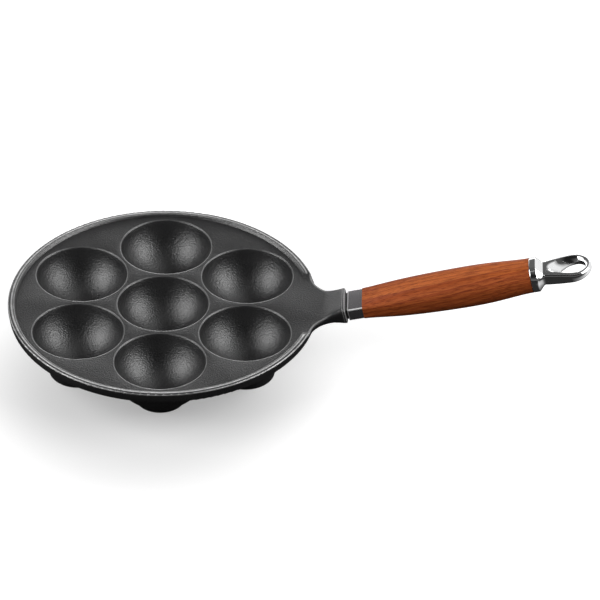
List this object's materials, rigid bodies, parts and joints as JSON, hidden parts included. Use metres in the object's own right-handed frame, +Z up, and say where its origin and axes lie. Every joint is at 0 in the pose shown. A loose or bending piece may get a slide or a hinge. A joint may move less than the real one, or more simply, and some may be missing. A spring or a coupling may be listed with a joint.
{
  "type": "aebleskiver pan",
  "caption": "Round cast-iron pan with ball-shaped cups for stuffed dumplings, a rising wooden grip, and a metal end cap with a loop to hang it by.",
  "frame": {"origin": "middle of the flat foot under the centre cup, on the table", "axes": "+X runs under the handle towards its loop, +Z up, +Y to the left of someone who looks along +X"},
  "size_m": [0.3767, 0.2008, 0.0687],
  "materials": {
    "enamelled_iron": "satin black enamel with a fine orange peel",
    "ferrule_metal": "polished",
    "grip_wood": "smooth, clear lacquer over an orange-brown grain",
    "loop_metal": "polished",
    "rod_steel": "bright zinc, threaded at the front"
  },
  "bodies": {
    "pan": {"pan_casting": "enamelled_iron"},
    "grip": {"front_ferrule": "ferrule_metal", "wood_grip": "grip_wood"},
    "end": {"hanging_loop": "loop_metal", "tie_rod": "rod_steel"}
  },
  "joints": [
    {"name": "grip_draw", "type": "slide", "parent": "pan", "child": "grip", "axis": [0.9763, 0, 0.2164], "range_m": [0, 0.0096]},
    {"name": "loop_turn", "type": "hinge", "parent": "grip", "child": "end", "pos_m": [0.1186, 0, 0.0315], "axis": [0.9763, 0, 0.2164], "range_deg": [0, 4320]}
  ],
  "couplings": [
    {"joint": "loop_turn", "follows": "grip_draw", "rad_per_m": 7854}
  ]
}
